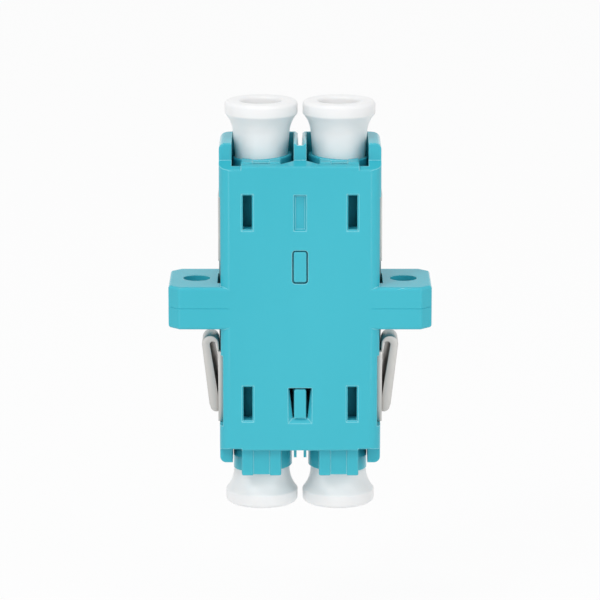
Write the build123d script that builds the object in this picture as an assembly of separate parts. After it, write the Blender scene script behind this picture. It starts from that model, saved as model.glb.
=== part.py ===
from build123d import *
import math
import os

# Duplex fibre adapter: two moulded halves that meet at the middle of a flange with two
# screw ears, a ceramic sleeve in each channel, a spring clip on each narrow side, a ribbed
# collar in each of the four ports and a pull-out dust cap in each collar.
# Millimetres. Z runs along the fibres, X across the two channels, and the windowed face
# looks towards -Y. The origin is midway between the two ear holes, on the underside of
# the flange, which is the face that meets the panel.

# Channels
port_pitch = 6.25            # between the two fibre axes
port_axis_depth = 4.3        # fibre axis behind the front face

# Body
body_width = 12.98
body_depth = 7.4
body_corner = 0.95           # radius of the four long corners
edge_round = 0.12
end_reach = 13.18            # seam to the end of the side, middle and back walls
upper_front_drop = 1.58      # how much sooner the front wall ends than the other three
lower_front_drop = 1.42
upper_front_step = 0.24      # how much shorter the front wall is beside the outer walls
lower_front_step = 0.12
front_step_from = 4.7        # distance from the centre where that step starts
front_lip = 0.14             # rounding of the front wall's end
ledge_rise = 0.2             # the front wall's end slopes up by this much
end_setback = 1.6            # side and middle walls stand this far behind the front face
tab_round = 0.5              # outer corner of the side walls' ends

# Ports
port_inner_half = 2.615      # fibre axis to the middle wall
port_outer_half = 2.34       # fibre axis to the outer wall
port_back_half = 2.4         # fibre axis to the back wall
keyway_half = 1.66           # half width of the keyway in the front wall
keyway_wall = 0.66           # front wall left in front of the keyway
keyway_shoulder = 1.5        # front wall's thickness beside the middle wall
keyway_length = 2.2          # back from the front wall's end
bore_square = 4.5            # the narrower part of the port, past the collar
web_half = 1.2               # solid web, from the seam to the port's floor
notch_width = 0.38           # slot in the ends of the middle wall
notch_floor = 0.16           # its width at the bottom of the upper one
notch_mouth = 0.2            # rounding of its outer edges
notch_top_front = 0.16
notch_top_back = 1.75
notch_low = 1.45
notch_low_width = 0.56
middle_low_cut = 0.45        # middle wall is shorter than the side walls at the lower end

# Flange
flange_width = 21.14
flange_thickness = 3.46
ear_chamfer = 0.84
ear_corner = 0.25            # rounding of the upright edges
ear_round = 0.24             # rounding of the top and bottom edges
seam_chamfer = 0.04
hole_spacing = 16.7
hole_diameter = 2.2

# Windows and marks in the front face
window_x = 4.2
window_width = 0.73
window_height = 2.78
window_centre = 7.85         # from the seam
window_bevel = 0.13
pocket_width = 1.02
pocket_height = 2.95
pocket_centre = 7.82
pocket_depth = 0.3
pocket_draft = 0.12          # how much each side slopes in
island_groove = 0.11
island_width = 1.04
island_height = 2.5
island_centre = 3.41
island_depth = 0.5
island_corner = 0.16
island_edge = 0.12
latch_centre = 8.01
latch_height = 2.96
latch_width = 1.92
latch_inner_top = 1.76
latch_inner_low = 1.2
latch_slope_top = 0.07       # height of the opening's slope above the tongue
latch_slope_low = 0.4        # and below it
latch_slope_depth = 0.32
latch_cut_depth = 2.0
tongue_width = 0.98
tongue_gap = 0.05
tongue_set_back = 0.04
tongue_corner = 0.2
tongue_edge = 0.12

# Sleeves and their holders
sleeve_bore = 1.25
sleeve_outer = 1.6
sleeve_length = 6.8
sleeve_slit = 0.12
sleeve_clearance = 0.03
holder_outer = 2.7
holder_lip_bore = 1.36
holder_lip = 0.6

# Collars
upper_collar_proud = 0.18    # collars' outer end past the front wall
lower_collar_proud = 2.28
collar_from = 6.2            # seam to the collars' inner end
collar_tilt = 3.2            # degrees: both ends' faces lean the same way, up beside the middle wall
collar_outer = 4.78
collar_lip = 0.12            # rounding of the upper collars' outer edge
collar_shift = 0.08          # the collar's outside is centred nearer the middle wall
rib_front_gap = 0.06         # rib to the keyway's wall
rib_side_gap = 0.06
rib_end_gap = 0.1            # the ribs' inner ends to the keyway's
rib_round = 0.14
outer_rib = 0.95             # width of the rib at each side of the flat middle one
middle_rib_drop = 0.08       # the middle one ends this much sooner
upper_rib_set_back = 0.32    # and stands this much further back
lower_rib_set_back = 0.12

# Dust caps, measured from the outer end face
upper_cap_proud = 4.46       # end face beyond the collar's end
lower_cap_proud = 3.0
cap_diameter = 5.85
cap_edge = 0.35              # rounding of the outer rim
cap_rim = 1.05               # end face to the start of the flare
cap_corner = 0.15            # rounding where the rim meets the flare
cap_flare = 1.5
cap_neck = 4.56              # neck diameter just past the flare
cap_taper = 1.9              # length of the neck's taper
cap_stem = 4.25              # stem diameter inside the collar
cap_length = 10.2
cap_fit = 0.02               # gap round the stem
cap_recess = 3.3
cap_recess_floor = 2.2
cap_recess_depth = 3.4
cap_lip = 0.28
cap_bore = 3.1               # hollow in the stem's inner end
cap_bore_depth = 4.6
stem_chamfer = 0.2

# Spring clips
sheet = 0.26                 # thickness of the spring sheet
strip_width = 3.8
strip_proud = 0.13           # strip beyond the body's side
strip_gap = 0.03
side_recess = 0.12           # shallow recess of the whole side
side_recess_reach = 8.98
clip_pocket = 0.29           # deeper recess beside the clip's plate
clip_pocket_from = 3.94
clip_pocket_reach = 9.78
plate_reach = 9.74           # seam to the plate's lower end
plate_from = 3.94            # seam to the top of the plate's front edge
hinge_from = 5.0             # seam to the tongue's root
rail_from = 1.5              # seam to where the rear rail widens into the strip
spring_half = 1.3            # half width of the tongue
spring_slit = 0.06
spring_splay = 0.4           # the tongue's rear edge stands out this much more
panel_gap = 1.06             # flange to the top of the clip's bend
bend_radius = 0.205          # inside the bend
leg_lean = 9.0               # degrees
leg_drop = 3.75              # straight part of the outer leg
foot_drop = 2.1              # its lower end, which lies along the plate
foot_gap = 0.03

# Places worked out from the sizes above
seam = flange_thickness / 2
front = -body_depth / 2
back = body_depth / 2
axis_x = port_pitch / 2
axis_y = front + port_axis_depth
half_width = body_width / 2
ledge_y = front + end_setback
upper_front_reach = end_reach - upper_front_drop
lower_front_reach = end_reach - lower_front_drop
upper_collar_reach = upper_front_reach + upper_collar_proud
lower_collar_reach = lower_front_reach + lower_collar_proud
upper_cap_reach = upper_collar_reach + upper_cap_proud
lower_cap_reach = lower_collar_reach + lower_cap_proud
plate_face = half_width + strip_proud


def block(x0, x1, y0, y1, z0, z1):
    """A box between two corners, given in any order."""
    size = (abs(x1 - x0), abs(y1 - y0), abs(z1 - z0))
    middle = ((x0 + x1) / 2, (y0 + y1) / 2, (z0 + z1) / 2)
    return Pos(*middle) * Box(*size)


def plan(points, z0, z1):
    """An outline in X and Y, drawn upwards from z0 to z1."""
    face = make_face(Polyline(*points, close=True))
    return Pos(0, 0, z0) * extrude(face, amount=z1 - z0, dir=(0, 0, 1))


def across(points, x0, x1):
    """An outline in Y and Z, drawn across from x0 to x1."""
    line = Polyline(*[(x0, y, z) for y, z in points], close=True)
    return extrude(make_face(line), amount=x1 - x0, dir=(1, 0, 0))


def opening(outer, inner, y0, y1):
    """A tapered cut into the front face; each outline is x0, x1, z0, z1."""
    faces = []
    for (x0, x1, z0, z1), y in ((outer, y0), (inner, y1)):
        faces.append(make_face(Polyline((x0, y, z0), (x1, y, z0), (x1, y, z1), (x0, y, z1), close=True)))
    return loft(faces, ruled=True)


def cylinder(x, y, diameter, z0, z1):
    """An upright cylinder between two heights."""
    return Pos(x, y, (z0 + z1) / 2) * Cylinder(diameter / 2, abs(z1 - z0))


def both_sides(part):
    """A piece and its mirror image across the middle plane."""
    return [part, mirror(part, about=Plane.YZ)]


def port_outline(side, keyway):
    """The port's mouth: a square, with a keyway into the front wall near the end."""
    outer = side * (axis_x + port_outer_half)
    inner = side * (axis_x - port_inner_half)
    shoulder = front + keyway_shoulder
    rear = axis_y + port_back_half
    if not keyway:
        return [(outer, rear), (outer, shoulder), (inner, shoulder), (inner, rear)]
    key = front + keyway_wall
    key_inner = side * (axis_x - keyway_half)
    return [(outer, rear), (outer, key), (key_inner, key), (inner, shoulder), (inner, rear)]


def body_block():
    """Half of the body, from the seam up, with its long corners rounded."""
    outline = RectangleRounded(body_width, body_depth, body_corner)
    body = extrude(outline, amount=end_reach)
    ends = [e for e in body.edges().filter_by(Axis.Y) if e.center().Z > end_reach - 0.01]
    return fillet(ends, tab_round)


def ears():
    """Half of the flange's thickness."""
    reach = flange_width / 2
    points = [(-reach, front + ear_chamfer), (-reach + ear_chamfer, front),
              (reach - ear_chamfer, front), (reach, front + ear_chamfer),
              (reach, back - ear_chamfer), (reach - ear_chamfer, back),
              (-reach + ear_chamfer, back), (-reach, back - ear_chamfer)]
    plate = plan(points, 0, flange_thickness / 2)
    plate = fillet(plate.edges().filter_by(Axis.Z), ear_corner)
    plate = fillet(plate.edges().group_by(Axis.Z)[-1], ear_round)
    return chamfer(plate.edges().group_by(Axis.Z)[0], seam_chamfer)


def front_end_cut(lower):
    """What the front wall lacks at its end: it stops short and slopes up to the ledge."""
    reach = lower_front_reach if lower else upper_front_reach
    step = lower_front_step if lower else upper_front_step
    ledge = reach + ledge_rise
    over = end_reach + 1

    def cut(lip, x0, x1):
        bend = front_lip * (1 - math.sqrt(0.5))
        edge = ThreePointArc((x0, front, lip - front_lip), (x0, front + bend, lip - bend),
                             (x0, front + front_lip, lip))
        rest = Polyline((x0, front + front_lip, lip), (x0, ledge_y, ledge), (x0, ledge_y, over),
                        (x0, front - 1, over), (x0, front - 1, lip - front_lip), (x0, front, lip - front_lip))
        return extrude(make_face(edge + rest), amount=x1 - x0, dir=(1, 0, 0))

    return [cut(reach, -front_step_from, front_step_from),
            cut(reach - step, -half_width - 1, -front_step_from),
            cut(reach - step, front_step_from, half_width + 1)]


def tab_edges(part):
    """The outline of the side walls' front faces past the ledge."""
    ledge = max(upper_front_reach, lower_front_reach) + ledge_rise
    return [e for e in part.edges() if abs(e.center().Y - ledge_y) < 0.01
            and e.center().Z > ledge + edge_round and abs(e.center().X) > axis_x]


def clip_cuts(lower):
    """The recess in each narrow side and the slot that holds the clip's strip."""
    slot_half = strip_width / 2 + strip_gap
    floor = plate_face - sheet - strip_gap
    reach = clip_pocket_reach if lower else side_recess_reach
    flange = flange_thickness / 2
    cuts = [block(half_width - side_recess, half_width + 1, front - 1, back + 1, flange, reach),
            block(floor, half_width + 1, -slot_half, slot_half, flange, reach + strip_gap),
            block(floor, plate_face + strip_gap, -slot_half, slot_half, -1, flange + 0.01)]
    if lower:
        cuts.append(block(half_width - clip_pocket, half_width + 1, front - 1, back + 1,
                          clip_pocket_from, reach))
    return [piece for cut in cuts for piece in both_sides(cut)]


def holder(x):
    """The tube that carries half of a sleeve, and the bore that takes it."""
    end = sleeve_length / 2 + sleeve_clearance
    tube = cylinder(x, axis_y, holder_outer, 0, end + holder_lip)
    bore = cylinder(x, axis_y, sleeve_outer + 2 * sleeve_clearance, -1, end)
    lip = cylinder(x, axis_y, holder_lip_bore, -1, end + holder_lip + 1)
    return tube, [bore, lip]


def keyway_from(lower):
    """The distance from the seam to the keyway's inner end."""
    return (lower_front_reach if lower else upper_front_reach) - keyway_length


def port_cuts(lower):
    """The four walls' inner faces: a mouth that takes the collar and a narrower bore."""
    cuts = []
    for side in (-1, 1):
        x = side * axis_x
        half = bore_square / 2
        cuts.append(plan(port_outline(side, False), collar_from, end_reach + 1))
        cuts.append(plan(port_outline(side, True), keyway_from(lower), end_reach + 1))
        cuts.append(block(x - half, x + half, axis_y - half, axis_y + half, web_half, end_reach))
    return cuts


def windows():
    """The bevelled slots near the four corners of the front face."""
    low = window_centre - window_height / 2
    high = window_centre + window_height / 2
    cuts = []
    for side in (-1, 1):
        x0 = side * window_x - window_width / 2
        x1 = side * window_x + window_width / 2
        cuts.append(block(x0, x1, front - 1, axis_y, low, high))
        cuts.append(opening((x0 - window_bevel, x1 + window_bevel, low - window_bevel, high + window_bevel),
                            (x0, x1, low, high), front, front + window_bevel))
    return cuts


def upper_marks():
    """The blind pocket and the outlined island in the middle of the upper half."""
    half = pocket_width / 2
    low = pocket_centre - pocket_height / 2
    high = pocket_centre + pocket_height / 2
    draft = pocket_draft
    pocket = opening((-half, half, low, high), (-half + draft, half - draft, low + draft, high - draft),
                     front, front + pocket_depth)
    half = island_width / 2
    low = island_centre - island_height / 2
    high = island_centre + island_height / 2
    gap = island_groove
    ring = block(-half - gap, half + gap, front - 1, front + island_depth, low - gap, high + gap)
    ring = fillet(ring.edges().filter_by(Axis.Y), island_corner + gap)
    island = block(-half, half, front, front + island_depth + 1, low, high)
    island = fillet(island.edges().filter_by(Axis.Y), island_corner)
    island = fillet(island.faces().sort_by(Axis.Y)[0].edges(), island_edge)
    return [pocket, ring - island]


def latch_cut():
    """The tapered opening round the tongue in the lower half."""
    top = latch_centre - latch_height / 2
    low = latch_centre + latch_height / 2
    y0 = front + latch_slope_depth
    inner_top = top + latch_slope_top
    inner_low = low - latch_slope_low
    half = latch_width / 2
    outer = Polyline((-half, front, top), (half, front, top), (half, front, low), (-half, front, low),
                     close=True)
    corners = [(-latch_inner_top / 2, inner_top), (latch_inner_top / 2, inner_top),
               (latch_inner_low / 2, inner_low), (-latch_inner_low / 2, inner_low)]
    inner = make_face(Polyline(*[(x, y0, z) for x, z in corners], close=True))
    hole = extrude(inner, amount=latch_cut_depth - latch_slope_depth, dir=(0, 1, 0))
    return [loft([make_face(outer), inner], ruled=True), hole]


def latch_tongue():
    """The rounded tongue that stands in the tapered opening."""
    top = latch_centre - latch_height / 2 + latch_slope_top + tongue_gap
    low = latch_centre + latch_height / 2 - latch_slope_low
    tongue = block(-tongue_width / 2, tongue_width / 2, front + tongue_set_back,
                   front + latch_cut_depth + 0.01, top, low)
    corners = [e for e in tongue.edges().filter_by(Axis.Y) if e.center().Z < top + 0.01]
    tongue = fillet(corners, tongue_corner)
    return fillet(tongue.faces().sort_by(Axis.Y)[0].edges(), tongue_edge)


def notch_cuts(lower):
    """The slot in the end of the middle wall, which runs out through the back wall."""
    over = end_reach + 1
    if lower:
        points = [(front - 1, end_reach - notch_low), (back + 1, end_reach - notch_low),
                  (back + 1, over), (front - 1, over)]
        half = axis_x - keyway_half
        short = block(-half, half, front - 1, axis_y + port_back_half, end_reach - middle_low_cut, over)
        return [across(points, -notch_low_width / 2, notch_low_width / 2), short]
    points = [(ledge_y - 0.01, end_reach - notch_top_front), (back + 1, end_reach - notch_top_back),
              (back + 1, over), (ledge_y - 0.01, over)]
    slot = across(points, -1, 1)
    bottom = end_reach - notch_top_back
    wide = notch_width / 2
    wedge = Polyline((-notch_floor / 2, front - 1, bottom), (notch_floor / 2, front - 1, bottom),
                     (wide, front - 1, end_reach - notch_mouth), (wide + notch_mouth, front - 1, end_reach),
                     (wide + notch_mouth, front - 1, over), (-wide - notch_mouth, front - 1, over),
                     (-wide - notch_mouth, front - 1, end_reach), (-wide, front - 1, end_reach - notch_mouth),
                     close=True)
    return [slot & extrude(make_face(wedge), amount=body_depth + 2, dir=(0, 1, 0))]


def housing(lower):
    """One moulded half, drawn upwards from the seam."""
    part = body_block()
    for cut in front_end_cut(lower) + clip_cuts(lower)[:2]:
        part -= cut
    part += ears()
    for cut in port_cuts(lower):
        part -= cut
    part = fillet(tab_edges(part), edge_round)
    holders = [holder(side * axis_x) for side in (-1, 1)]
    for tube, bores in holders:
        part += tube
        for bore in bores:
            part -= bore
    for cut in clip_cuts(lower) + windows() + notch_cuts(lower):
        part -= cut
    if lower:
        for cut in latch_cut():
            part -= cut
        part += latch_tongue()
    else:
        for cut in upper_marks():
            part -= cut
    for side in (-1, 1):
        part -= cylinder(side * hole_spacing / 2, 0, hole_diameter, -1, flange_thickness)
    return part


def sleeve(side):
    """A split ceramic tube, held by both halves."""
    x = side * axis_x
    z0 = seam - sleeve_length / 2
    z1 = seam + sleeve_length / 2
    tube = cylinder(x, axis_y, sleeve_outer, z0, z1) - cylinder(x, axis_y, sleeve_bore, z0 - 1, z1 + 1)
    return tube - block(x - sleeve_slit / 2, x + sleeve_slit / 2, axis_y, axis_y + sleeve_outer, z0 - 1, z1 + 1)


def cap_radius(depth):
    """The cap's radius at a depth past the flare."""
    start = cap_rim + cap_flare
    share = min(max((depth - start) / cap_taper, 0), 1)
    return (cap_neck + (cap_stem - cap_neck) * share) / 2


def rib(x0, x1, y0, rib_from, reach):
    """One of a collar's ribs, with its front edges rounded."""
    made = block(x0, x1, y0, axis_y, rib_from, reach)
    edges = [e for e in made.edges() if (e.center().Y < y0 + 0.01 or e.center().Z > reach - 0.01)
             and e.center().Z > rib_from + 0.01 and e.center().Y < axis_y - 0.01]
    return fillet(edges, rib_round)


def collar(side, lower):
    """The ribbed ring in a port's mouth, drawn upwards from the seam."""
    reach = lower_collar_reach if lower else upper_collar_reach
    cap_reach = lower_cap_reach if lower else upper_cap_reach
    x = side * axis_x
    ring_x = side * (axis_x - collar_shift)
    key = front + keyway_wall + rib_front_gap
    rib_half = keyway_half - rib_side_gap
    tilt = collar_tilt * side * (-1 if lower else 1)
    over = 2 * collar_outer
    part = cylinder(ring_x, axis_y, collar_outer, collar_from, reach + 1)
    part -= Pos(x, axis_y, reach) * Rot(0, tilt, 0) * Pos(0, 0, over / 2) * Box(over, over, over)
    if not lower:
        part = fillet(part.faces().sort_by(Axis.Z)[-1].edges(), collar_lip)
    rib_from = keyway_from(lower) + rib_end_gap
    part += rib(x - rib_half, x - rib_half + outer_rib, key, rib_from, reach)
    part += rib(x + rib_half - outer_rib, x + rib_half, key, rib_from, reach)
    set_back = lower_rib_set_back if lower else upper_rib_set_back
    middle = rib_half - outer_rib / 2
    part += block(x - middle, x + middle, key + set_back, axis_y, rib_from, reach - middle_rib_drop)
    mouth = cap_radius(cap_reach - reach) + cap_fit
    straight = cap_stem / 2 + cap_fit
    taper_end = cap_reach - (cap_rim + cap_flare + cap_taper)
    part -= cylinder(x, axis_y, 2 * straight, collar_from - 1, reach + 1)
    if taper_end < reach:
        high = reach + collar_outer * math.tan(math.radians(collar_tilt))
        wide = straight + (mouth - straight) * (high - taper_end) / (reach - taper_end)
        part -= Pos(x, axis_y, (high + taper_end) / 2) * Cone(straight, wide, high - taper_end)
    return part


def cap(side, lower):
    """A dust cap, turned from its profile, end face up."""
    rim = cap_diameter / 2
    lip = cap_recess / 2
    neck_start = cap_rim + cap_flare
    bottom = cap_length
    bore_end = cap_length - cap_bore_depth
    edge = RadiusArc((rim - cap_edge, 0), (rim, -cap_edge), cap_edge)
    taper_slope = (cap_neck - cap_stem) / 2 / cap_taper
    flare = TangentArc((cap_neck / 2, -neck_start), (rim, -cap_rim), tangent=(taper_slope, 1))
    mouth = RadiusArc((lip, -cap_lip), (lip + cap_lip, 0), cap_lip)
    line = (Polyline((0, -bore_end), (0, -cap_recess_depth), (cap_recess_floor / 2, -cap_recess_depth),
                     (lip, -cap_lip))
            + mouth + Line((lip + cap_lip, 0), (rim - cap_edge, 0)) + edge
            + Line((rim, -cap_edge), (rim, -cap_rim)) + flare
            + Polyline((cap_neck / 2, -neck_start), (cap_stem / 2, -neck_start - cap_taper),
                       (cap_stem / 2, -bottom + stem_chamfer), (cap_stem / 2 - stem_chamfer, -bottom),
                       (cap_bore / 2, -bottom), (cap_bore / 2, -bore_end), (0, -bore_end)))
    face = make_face(Plane.XZ * line)
    turned = revolve(face, Axis.Z)
    corner = [e for e in turned.edges().filter_by(GeomType.CIRCLE)
              if abs(e.center().Z + cap_rim) < 0.01 and e.radius > rim - 0.01]
    turned = fillet(corner, cap_corner)
    reach = lower_cap_reach if lower else upper_cap_reach
    return Pos(side * axis_x, axis_y, reach) * turned


def clip():
    """The right-hand spring clip: a strip and plate with a folded tongue that grips the panel."""
    inner_face = plate_face - sheet
    strip_half = strip_width / 2
    hinge = seam - hinge_from
    part = block(inner_face, plate_face, -strip_half, strip_half, seam - plate_reach, hinge)
    part += block(inner_face, plate_face, -strip_half, -spring_half - spring_slit, hinge, seam - plate_from)
    part += block(inner_face, plate_face, spring_half + spring_slit, strip_half, hinge, seam - rail_from)
    part += block(inner_face, plate_face, -strip_half, strip_half, seam - rail_from, seam + side_recess_reach)
    lean = math.radians(leg_lean)
    out, up = math.cos(lean), math.sin(lean)
    turn = bend_radius + sheet / 2
    middle_z = -panel_gap - sheet / 2 - turn
    root = (plate_face - sheet / 2, hinge)
    leg_top = middle_z + turn * up
    leg = (root[0] + (leg_top - hinge) * math.tan(lean), leg_top)
    middle = (leg[0] + turn * out, middle_z)
    top = (middle[0] + turn * up, middle[1] + turn * out)
    over = (middle[0] + turn * out, middle[1] - turn * up)
    ankle = (over[0] - leg_drop * up, over[1] - leg_drop * out)
    foot = (plate_face + foot_gap + sheet / 2, ankle[1] - foot_drop)
    path = (Line(root, leg) + ThreePointArc(leg, top, over) + Line(over, ankle)
            + TangentArc(ankle, foot, tangent=(-up, -out)))
    ribbon = Pos(0, -spring_half, 0) * (Plane.XZ * trace(path, sheet))
    reach = math.hypot(spring_splay, 2 * spring_half)
    leaf = extrude(ribbon, amount=reach, dir=(spring_splay, 2 * spring_half, 0))
    bridge = block(inner_face, plate_face, -spring_half, 0, hinge - 2 * sheet, hinge + sheet / 2)
    return part + leaf + bridge


def write(name, part):
    """One file for each piece."""
    part.label = name
    export_step(part, os.path.join("parts", name + ".step"))


def turned_over(part):
    """A piece drawn upwards from the seam, set below it."""
    return Pos(0, 0, seam) * mirror(part, about=Plane.XY)


def main():
    os.makedirs("parts", exist_ok=True)
    write("upper_housing", Pos(0, 0, seam) * housing(False))
    write("lower_housing", turned_over(housing(True)))
    for side, hand in ((-1, "left"), (1, "right")):
        write("ceramic_sleeve_" + hand, sleeve(side))
        write("upper_collar_" + hand, Pos(0, 0, seam) * collar(side, False))
        write("lower_collar_" + hand, turned_over(collar(side, True)))
        write("upper_cap_" + hand, Pos(0, 0, seam) * cap(side, False))
        write("lower_cap_" + hand, turned_over(cap(side, True)))
    right, left = both_sides(clip())
    write("spring_clip_right", right)
    write("spring_clip_left", left)


main()
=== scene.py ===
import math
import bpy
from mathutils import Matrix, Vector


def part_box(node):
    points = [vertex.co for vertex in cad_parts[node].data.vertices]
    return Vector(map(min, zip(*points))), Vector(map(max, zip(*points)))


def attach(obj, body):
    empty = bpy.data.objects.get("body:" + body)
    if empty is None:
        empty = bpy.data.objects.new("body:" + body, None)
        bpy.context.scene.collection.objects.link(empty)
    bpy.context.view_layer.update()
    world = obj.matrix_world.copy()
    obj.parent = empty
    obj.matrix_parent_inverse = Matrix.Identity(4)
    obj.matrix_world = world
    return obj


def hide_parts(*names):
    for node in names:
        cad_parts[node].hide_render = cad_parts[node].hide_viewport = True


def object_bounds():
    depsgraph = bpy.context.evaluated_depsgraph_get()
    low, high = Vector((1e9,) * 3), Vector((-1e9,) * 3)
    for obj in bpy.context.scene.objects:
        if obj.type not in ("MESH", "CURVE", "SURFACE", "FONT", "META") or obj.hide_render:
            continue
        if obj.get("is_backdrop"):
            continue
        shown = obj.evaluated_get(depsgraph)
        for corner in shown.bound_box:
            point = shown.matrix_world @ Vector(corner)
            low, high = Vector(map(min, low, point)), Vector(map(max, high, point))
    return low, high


bl_info = {
    "name": "Duplex Fibre Adapter",
    "version": (1, 0, 0),
    "blender": (4, 5, 0),
    "location": "3D View > Sidebar > Adapter",
    "description": "Dresses the duplex fibre adapter: plastic, dust caps, spring clips and studio",
    "category": "Object",
}

import bmesh
import bpy
from bpy.props import FloatProperty, FloatVectorProperty, IntProperty, PointerProperty
from mathutils import Matrix, Vector

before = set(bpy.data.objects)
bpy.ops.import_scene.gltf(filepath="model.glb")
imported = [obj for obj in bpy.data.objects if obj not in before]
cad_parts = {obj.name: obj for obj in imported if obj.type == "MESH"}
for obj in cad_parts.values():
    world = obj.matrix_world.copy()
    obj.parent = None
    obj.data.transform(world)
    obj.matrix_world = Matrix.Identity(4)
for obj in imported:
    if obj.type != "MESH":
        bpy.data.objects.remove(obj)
cad_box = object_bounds()

MM = 0.001
SIDES = ("left", "right")
ENDS = ("upper", "lower")
BODY = "adapter"

PLASTIC_IOR = 1.5
CERAMIC_IOR = 2.1

# Distances that close a mesh's seams
WELD = 0.0005 * MM
SLIVER = 0.0002 * MM

# Sockets of a Mix node: its two values and its result
COLOUR_SOCKETS = ("RGBA", 6, 7, 2)
VECTOR_SOCKETS = ("VECTOR", 4, 5, 1)


def cap_name(end, side):
    return f"{end}_cap_{side}"


def cap_height():
    """Length of one dust cap, end face to stem's end."""
    low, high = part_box(cap_name("upper", "left"))
    return high.z - low.z


# Settings


class PlasticSettings(bpy.types.PropertyGroup):
    """Colours and finish of the mouldings"""

    teal: FloatVectorProperty(
        name="Teal", description="Colour of the housing and collars", subtype="COLOR", size=3,
        min=0.0, max=1.0, default=(0.044, 0.458, 0.562))
    teal_worn: FloatVectorProperty(
        name="Teal Flow", description="Paler colour of the flow marks", subtype="COLOR", size=3,
        min=0.0, max=1.0, default=(0.052, 0.480, 0.584))
    teal_roughness: FloatProperty(
        name="Teal Roughness", description="Roughness of the moulded housing", subtype="FACTOR",
        min=0.0, max=1.0, default=0.18)
    # Painted highlight: a paler teal laid along the edges in place of the light they catch
    teal_edge: FloatVectorProperty(
        name="Teal Edge", description="Paler colour along the mouldings' edges",
        subtype="COLOR", size=3, min=0.0, max=1.0, default=(0.34, 0.80, 0.86))
    gloss: FloatProperty(
        name="Gloss", description="Polish of the walls and rounded edges", subtype="FACTOR",
        min=0.0, max=1.0, default=0.45)
    # Strength of the painted edge highlight
    edge_share: FloatProperty(
        name="Edge Share", description="Strength of the paler edges", subtype="FACTOR",
        min=0.0, max=1.0, default=0.8)
    seam_clear: FloatProperty(
        name="Seam Clear", description="Height each side of the seam without rounded edges",
        unit="LENGTH", subtype="DISTANCE", default=0.14 * MM)
    grain: FloatProperty(
        name="Grain Size", description="Size of the mould's fine texture", unit="LENGTH",
        subtype="DISTANCE", default=0.05 * MM)
    edge_radius: FloatProperty(
        name="Edge Radius", description="How far light rounds the sharp edges", unit="LENGTH",
        subtype="DISTANCE", default=0.1 * MM)
    white: FloatVectorProperty(
        name="Cap White", description="Colour of the dust caps", subtype="COLOR", size=3,
        min=0.0, max=1.0, default=(0.87, 0.87, 0.87))
    white_roughness: FloatProperty(
        name="Cap Roughness", description="Roughness of the dust caps", subtype="FACTOR",
        min=0.0, max=1.0, default=0.34)


class MetalSettings(bpy.types.PropertyGroup):
    """Finish of the spring clips and the sleeves"""

    steel: FloatVectorProperty(
        name="Steel", description="Colour of the spring steel", subtype="COLOR", size=3,
        min=0.0, max=1.0, default=(0.74, 0.73, 0.715))
    steel_roughness: FloatProperty(
        name="Steel Roughness", description="Roughness across the rolling marks", subtype="FACTOR",
        min=0.0, max=1.0, default=0.34)
    ceramic: FloatVectorProperty(
        name="Ceramic", description="Colour of the sleeves", subtype="COLOR", size=3,
        min=0.0, max=1.0, default=(0.86, 0.85, 0.81))


class CapSettings(bpy.types.PropertyGroup):
    """Sizes of a dust cap, measured from its end face"""

    rim_radius: FloatProperty(
        name="Rim Radius", description="Outside of the rim", unit="LENGTH", subtype="DISTANCE",
        default=2.925 * MM)
    rim_edge: FloatProperty(
        name="Rim Edge", description="Rounding of the rim's outer edge", unit="LENGTH",
        subtype="DISTANCE", default=0.35 * MM)
    rim_depth: FloatProperty(
        name="Rim Depth", description="End face to the start of the flare", unit="LENGTH",
        subtype="DISTANCE", default=1.05 * MM)
    rim_corner: FloatProperty(
        name="Rim Corner", description="Rounding where the rim meets the flare", unit="LENGTH",
        subtype="DISTANCE", default=0.15 * MM)
    flare: FloatProperty(
        name="Flare", description="Length of the flare", unit="LENGTH", subtype="DISTANCE",
        default=1.5 * MM)
    neck_radius: FloatProperty(
        name="Neck Radius", description="Neck just past the flare", unit="LENGTH",
        subtype="DISTANCE", default=2.28 * MM)
    taper: FloatProperty(
        name="Taper", description="Length of the neck's taper", unit="LENGTH", subtype="DISTANCE",
        default=1.9 * MM)
    stem_radius: FloatProperty(
        name="Stem Radius", description="Stem inside the collar", unit="LENGTH",
        subtype="DISTANCE", default=2.125 * MM)
    stem_chamfer: FloatProperty(
        name="Stem Chamfer", description="Bevel at the stem's end", unit="LENGTH",
        subtype="DISTANCE", default=0.2 * MM)
    recess_radius: FloatProperty(
        name="Recess Radius", description="Hollow in the end face", unit="LENGTH",
        subtype="DISTANCE", default=1.65 * MM)
    recess_lip: FloatProperty(
        name="Recess Lip", description="Rounding of the hollow's mouth", unit="LENGTH",
        subtype="DISTANCE", default=0.28 * MM)
    recess_floor: FloatProperty(
        name="Recess Floor", description="Radius of the hollow's floor", unit="LENGTH",
        subtype="DISTANCE", default=1.1 * MM)
    recess_depth: FloatProperty(
        name="Recess Depth", description="Depth of the hollow", unit="LENGTH",
        subtype="DISTANCE", default=3.4 * MM)
    bore_radius: FloatProperty(
        name="Bore Radius", description="Hollow in the stem", unit="LENGTH", subtype="DISTANCE",
        default=1.55 * MM)
    bore_depth: FloatProperty(
        name="Bore Depth", description="Depth of the stem's hollow", unit="LENGTH",
        subtype="DISTANCE", default=4.6 * MM)
    segments: IntProperty(
        name="Segments", description="Steps round the cap", min=12, max=512, default=160)


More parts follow.
